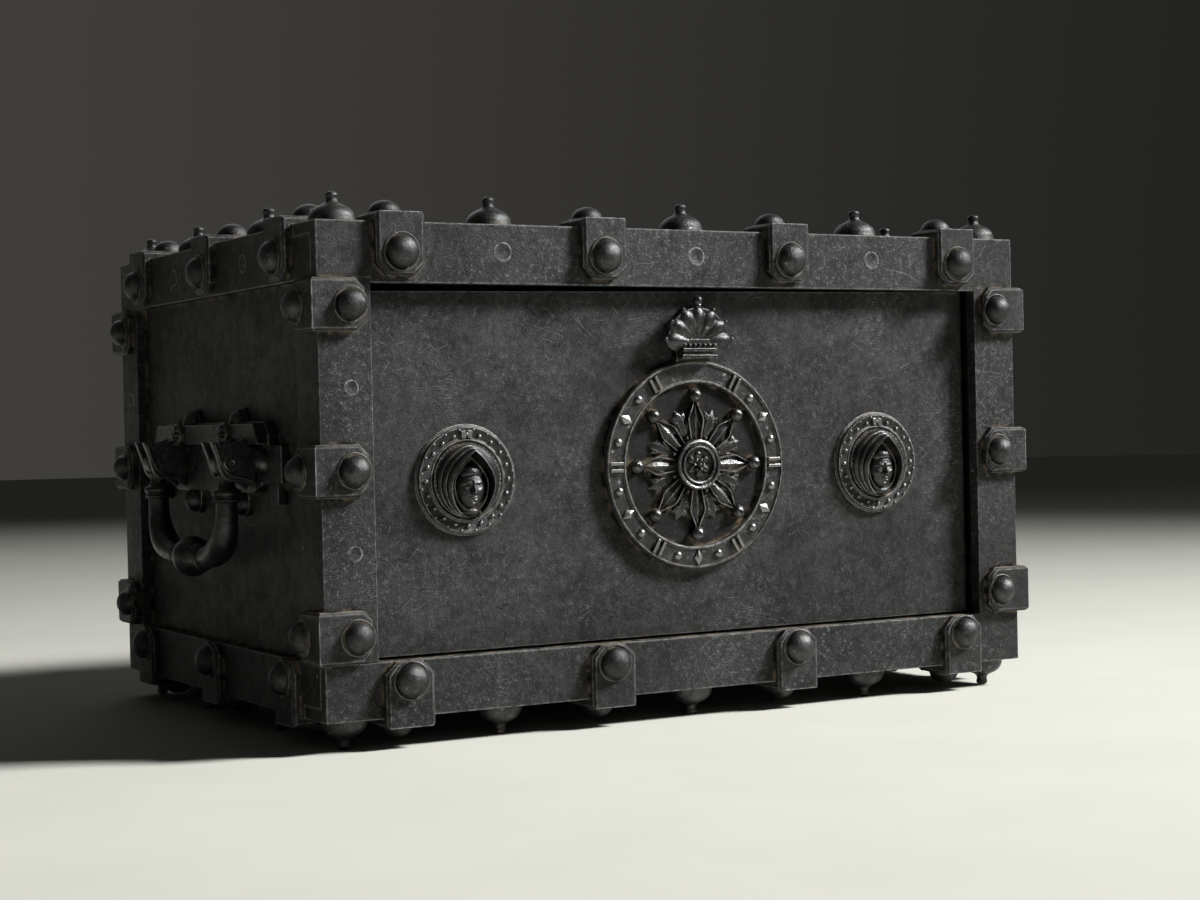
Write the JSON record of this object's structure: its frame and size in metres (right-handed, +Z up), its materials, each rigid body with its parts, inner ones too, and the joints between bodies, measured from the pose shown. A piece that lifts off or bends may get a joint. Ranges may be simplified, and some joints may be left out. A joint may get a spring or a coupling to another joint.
{
  "type": "iron strongbox",
  "caption": "Small riveted iron strongbox with a pivoted front door, a combination knob, a bolt knob, a badge that swings off the keyhole, and a drop bail on each side.",
  "frame": {"origin": "on the floor under the middle of the box", "axes": "+X towards the box's right side, +Y towards its back, +Z up; the door faces -Y"},
  "size_m": [0.4424, 0.306, 0.253],
  "materials": {
    "iron": "blackened, semi-gloss, worn edges",
    "sheet": "blackened sheet, mottled semi-gloss",
    "casting": "blackened casting, semi-gloss",
    "steel": "bare, oiled",
    "brass": "dull"
  },
  "bodies": {
    "carcass": {"top_front_rail": "iron", "top_right_rail": "iron", "top_back_rail": "iron", "top_left_rail": "iron", "bottom_front_rail": "iron", "bottom_right_rail": "iron", "bottom_back_rail": "iron", "bottom_left_rail": "iron", "post_front_left": "iron", "post_front_right": "iron", "post_back_right": "iron", "post_back_left": "iron", "strap_front_left_low": "iron", "strap_front_left_mid": "iron", "strap_front_left_high": "iron", "strap_front_right_low": "iron", "strap_front_right_mid": "iron", "strap_front_right_high": "iron", "strap_back_right_low": "iron", "strap_back_right_mid": "iron", "strap_back_right_high": "iron", "strap_back_left_low": "iron", "strap_back_left_mid": "iron", "strap_back_left_high": "iron", "door_frame": "iron", "top_plate": "sheet", "bottom_plate": "sheet", "left_plate": "sheet", "right_plate": "sheet", "back_plate": "sheet", "left_handle_plate": "casting", "left_hinge_pin_front": "steel", "left_hinge_pin_back": "steel", "right_handle_plate": "casting", "right_hinge_pin_front": "steel", "right_hinge_pin_back": "steel"},
    "door": {"door_plate": "sheet", "door_pivot_bottom": "steel", "door_pivot_top": "steel", "lock_plate": "steel", "lock_case": "sheet", "key_lock": "brass", "keyhole_plate": "brass", "left_dial": "casting", "right_dial": "casting", "badge_pin": "steel", "badge_crest": "casting"},
    "bolts": {"bolt_bar": "steel"},
    "left_knob": {"left_knob": "casting", "left_pinion": "steel"},
    "right_knob": {"right_knob": "casting", "combination_wheels": "brass"},
    "badge": {"badge_ring": "casting", "badge_field": "casting", "badge_rosette": "casting", "badge_hub": "casting"},
    "left_bail": {"left_bail": "casting"},
    "right_bail": {"right_bail": "casting"}
  },
  "joints": [
    {"name": "door_swing", "type": "hinge", "parent": "carcass", "child": "door", "pos_m": [0.1694, -0.13, 0.126], "axis": [0, 0, 1], "range_deg": [0, 90]},
    {"name": "badge_swing", "type": "hinge", "parent": "door", "child": "badge", "pos_m": [0, -0.137, 0.186], "axis": [0, 1, 0], "range_deg": [0, 60]},
    {"name": "left_knob_turn", "type": "hinge", "parent": "door", "child": "left_knob", "pos_m": [-0.125, -0.134, 0.1205], "axis": [0, 1, 0], "range_deg": [-1, 91]},
    {"name": "bolt_throw", "type": "slide", "parent": "door", "child": "bolts", "axis": [-1, 0, 0], "range_m": [0, 0.012]},
    {"name": "right_knob_turn", "type": "hinge", "parent": "door", "child": "right_knob", "pos_m": [0.112, -0.134, 0.122], "axis": [0, 1, 0], "continuous": true},
    {"name": "left_bail_swing", "type": "hinge", "parent": "carcass", "child": "left_bail", "pos_m": [-0.211, 0, 0.1305], "axis": [0, 1, 0], "range_deg": [-6, 90]},
    {"name": "right_bail_swing", "type": "hinge", "parent": "carcass", "child": "right_bail", "pos_m": [0.211, 0, 0.1305], "axis": [0, -1, 0], "range_deg": [-6, 90]}
  ],
  "couplings": [
    {"joint": "left_knob_turn", "follows": "bolt_throw", "rad_per_m": 130.89}
  ]
}
